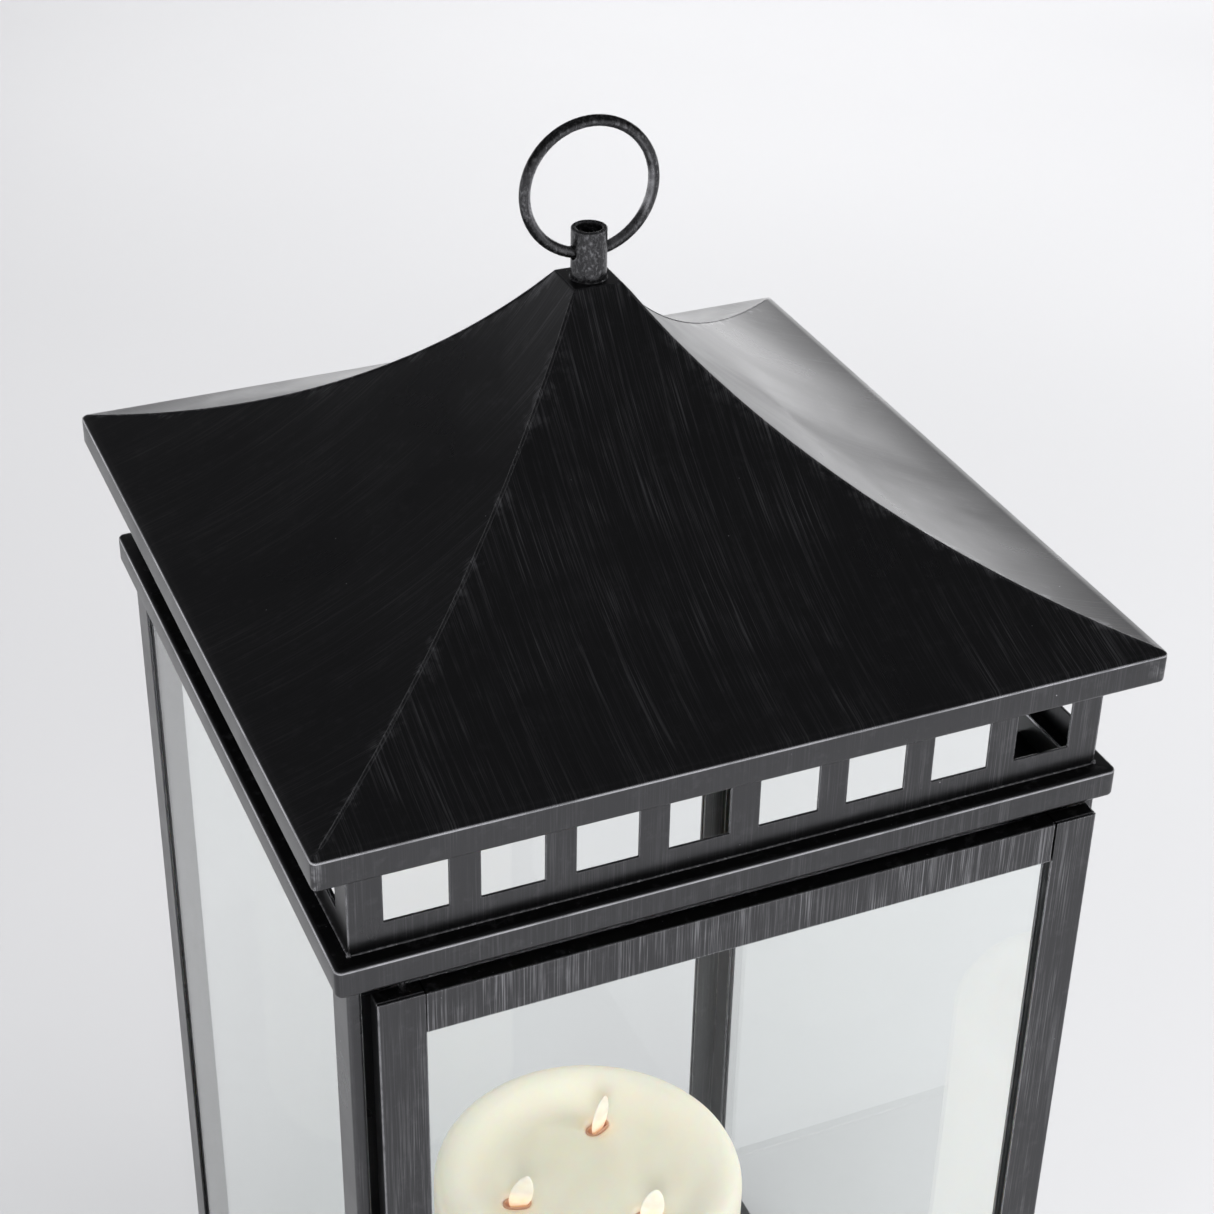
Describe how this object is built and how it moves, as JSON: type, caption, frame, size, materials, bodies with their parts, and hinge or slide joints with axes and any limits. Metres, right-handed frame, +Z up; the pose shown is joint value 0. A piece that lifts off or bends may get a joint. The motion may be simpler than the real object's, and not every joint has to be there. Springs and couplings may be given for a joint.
{
  "type": "candle lantern",
  "caption": "Square glazed candle lantern with a concave metal roof, vent band, carry ring, hinged glass door with turn latch, and a pillar candle with moving flame paddles inside.",
  "frame": {"origin": "centre of the footprint, on the plane the foot pads stand on", "axes": "+Z up; the door faces -Y; +X to the right when facing the door"},
  "size_m": [0.342, 0.342, 0.7694],
  "materials": {
    "black_metal": "satin near-black paint over brushed steel, rubbed at the edges",
    "glass": "clear float glass with a slightly green edge",
    "rubber": "matte",
    "white_nylon": "matte",
    "seal": "matte",
    "steel": "zinc plated",
    "white_plastic": "moulded",
    "wax": "smooth cream wax",
    "cell": "printed sleeve, plain",
    "board": "solder mask",
    "copper": "enamelled wire",
    "led": "clear warm lens",
    "flame": "translucent moulded plastic",
    "black_plastic": "moulded"
  },
  "bodies": {
    "lantern": {"roof_panel_front": "black_metal", "roof_panel_right": "black_metal", "roof_panel_back": "black_metal", "roof_panel_left": "black_metal", "apex_cap": "black_metal", "finial_tube": "black_metal", "vent_band_front": "black_metal", "vent_band_right": "black_metal", "vent_band_back": "black_metal", "vent_band_left": "black_metal", "cornice_front": "black_metal", "cornice_right": "black_metal", "cornice_back": "black_metal", "cornice_left": "black_metal", "post_front_left": "black_metal", "post_front_right": "black_metal", "post_back_left": "black_metal", "post_back_right": "black_metal", "base_front": "black_metal", "base_right": "black_metal", "base_back": "black_metal", "base_left": "black_metal", "floor_plate": "black_metal", "foot_pads": "rubber", "glass_left": "glass", "glass_right": "glass", "glass_back": "glass", "hinge_bush": "white_nylon", "latch_strike": "black_metal", "strike_rivets": "steel", "draught_strip_head": "black_metal", "draught_strip_side": "black_metal"},
    "door": {"door_stile_hinge": "black_metal", "door_stile_latch": "black_metal", "door_rail_top": "black_metal", "door_rail_bottom": "black_metal", "door_glass": "glass", "door_glass_seal": "seal", "hinge_pins": "steel", "latch_washer": "steel"},
    "latch": {"latch_handle": "black_metal", "latch_tongue": "steel", "latch_nut": "steel"},
    "ring": {"carry_ring": "black_metal"},
    "candle": {"candle_wax": "wax", "candle_housing": "white_plastic", "battery_cover": "white_plastic", "battery_cover_screws": "steel", "batteries": "cell", "module_deck": "white_plastic", "circuit_board": "board", "flame_modules": "white_plastic", "drive_coils": "copper", "flame_leds": "led"},
    "wick_1": {"flame_1": "flame", "flame_magnet_1": "steel"},
    "wick_2": {"flame_2": "flame", "flame_magnet_2": "steel"},
    "wick_3": {"flame_3": "flame", "flame_magnet_3": "steel"},
    "switch": {"switch_slider": "black_plastic"}
  },
  "joints": [
    {"name": "door_hinge", "type": "hinge", "parent": "lantern", "child": "door", "pos_m": [-0.137, -0.1595, 0.27], "axis": [0, 0, -1], "range_deg": [0, 150]},
    {"name": "latch_turn", "type": "hinge", "parent": "door", "child": "latch", "pos_m": [0.1433, -0.165, 0.265], "axis": [0, 1, 0], "range_deg": [0, 90]},
    {"name": "ring_swing", "type": "hinge", "parent": "lantern", "child": "ring", "pos_m": [0, 0, 0.7144], "axis": [1, 0, 0], "range_deg": [-125, 125]},
    {"name": "candle_lift", "type": "slide", "parent": "lantern", "child": "candle", "axis": [0, 0, 1], "range_m": [0, 0.12]},
    {"name": "flame_sway_1", "type": "hinge", "parent": "candle", "child": "wick_1", "pos_m": [0.02375, 0.02948, 0.2132], "axis": [0.4226, -0.9063, 0], "range_deg": [-8, 8], "stiffness_Nm_per_rad": 0.002},
    {"name": "flame_sway_2", "type": "hinge", "parent": "candle", "child": "wick_2", "pos_m": [-0.0325, -0.003, 0.2132], "axis": [-0.309, -0.9511, 0], "range_deg": [-8, 8], "stiffness_Nm_per_rad": 0.002},
    {"name": "flame_sway_3", "type": "hinge", "parent": "candle", "child": "wick_3", "pos_m": [0.02375, -0.03548, 0.2132], "axis": [-0.3746, -0.9272, 0], "range_deg": [-8, 8], "stiffness_Nm_per_rad": 0.002},
    {"name": "candle_switch", "type": "slide", "parent": "candle", "child": "switch", "axis": [1, 0, 0], "range_m": [0, 0.004]}
  ]
}
